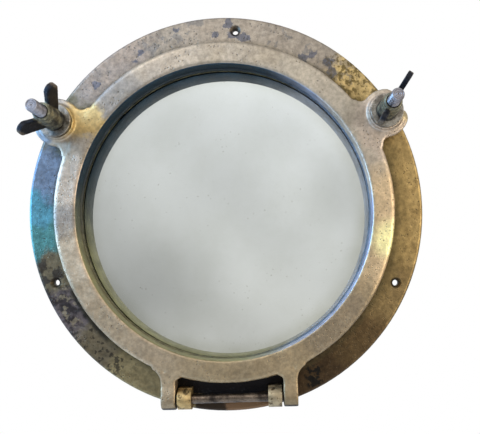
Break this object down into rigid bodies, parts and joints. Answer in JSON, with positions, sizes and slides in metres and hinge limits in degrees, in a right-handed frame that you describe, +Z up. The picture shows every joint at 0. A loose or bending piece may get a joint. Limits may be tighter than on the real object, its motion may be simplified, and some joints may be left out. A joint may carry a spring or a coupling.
{
  "type": "porthole window",
  "caption": "Round brass ship's porthole: flanged frame, glazing ring that hinges at the bottom, and swing bolts with wing nuts that clamp it shut.",
  "frame": {"origin": "centre of the flange's back face, on the axis of the round opening, where the frame meets the wall", "axes": "+Y into the wall, -Y out of the front towards the viewer, +Z up, hinge at the bottom"},
  "size_m": [0.4, 0.1105, 0.3998],
  "materials": {
    "frame_brass": "aged cast brass, dull, with slate, dark brown and green patina",
    "ring_brass": "aged cast brass, pitted, satin",
    "inner_brass": "dark aged brass",
    "pin_bronze": "brown bronze",
    "bolt_bronze": "worn grey bronze, threaded",
    "washer_bronze": "worn grey bronze",
    "wing_brass": "blackened brass, worn to bright metal on its edges",
    "glass": "clear plate glass with a trace of green",
    "bedding": "dark bedding compound",
    "gasket_rubber": "black rubber"
  },
  "bodies": {
    "frame": {"frame": "frame_brass", "hinge_pin": "pin_bronze", "pivot_pin_left": "pin_bronze", "pivot_pin_right": "pin_bronze"},
    "opening_ring": {"glazing_ring": "ring_brass", "glass_pane": "glass", "glass_bedding": "bedding", "glass_cushion": "bedding", "glass_retaining_ring": "inner_brass", "sealing_gasket": "gasket_rubber"},
    "dog_left": {"swing_bolt_left": "bolt_bronze"},
    "dog_right": {"swing_bolt_right": "bolt_bronze"},
    "dog_washer_left": {"washer_left": "washer_bronze"},
    "dog_washer_right": {"washer_right": "washer_bronze"},
    "dog_nut_left": {"wing_nut_left": "wing_brass"},
    "dog_nut_right": {"wing_nut_right": "wing_brass"}
  },
  "joints": [
    {"name": "ring_hinge", "type": "hinge", "parent": "frame", "child": "opening_ring", "pos_m": [0, -0.0185, -0.184], "axis": [1, 0, 0], "range_deg": [0, 170]},
    {"name": "dog_swing_left", "type": "hinge", "parent": "frame", "child": "dog_left", "pos_m": [-0.16108, -0.0085, 0.093], "axis": [-0.5, 0, -0.866], "range_deg": [0, 65]},
    {"name": "dog_swing_right", "type": "hinge", "parent": "frame", "child": "dog_right", "pos_m": [0.16108, -0.0085, 0.093], "axis": [-0.5, 0, 0.866], "range_deg": [0, 65]},
    {"name": "washer_travel_left", "type": "slide", "parent": "dog_left", "child": "dog_washer_left", "axis": [0, -1, 0], "range_m": [0, 0.014]},
    {"name": "washer_travel_right", "type": "slide", "parent": "dog_right", "child": "dog_washer_right", "axis": [0, -1, 0], "range_m": [0, 0.014]},
    {"name": "nut_spin_left", "type": "hinge", "parent": "dog_washer_left", "child": "dog_nut_left", "pos_m": [-0.16108, -0.045, 0.093], "axis": [0, -1, 0], "range_deg": [0, 2881]},
    {"name": "nut_spin_right", "type": "hinge", "parent": "dog_washer_right", "child": "dog_nut_right", "pos_m": [0.16108, -0.045, 0.093], "axis": [0, -1, 0], "range_deg": [0, 2881]}
  ],
  "couplings": [
    {"joint": "nut_spin_left", "follows": "washer_travel_left", "rad_per_m": 3590.4},
    {"joint": "nut_spin_right", "follows": "washer_travel_right", "rad_per_m": 3590.4}
  ]
}
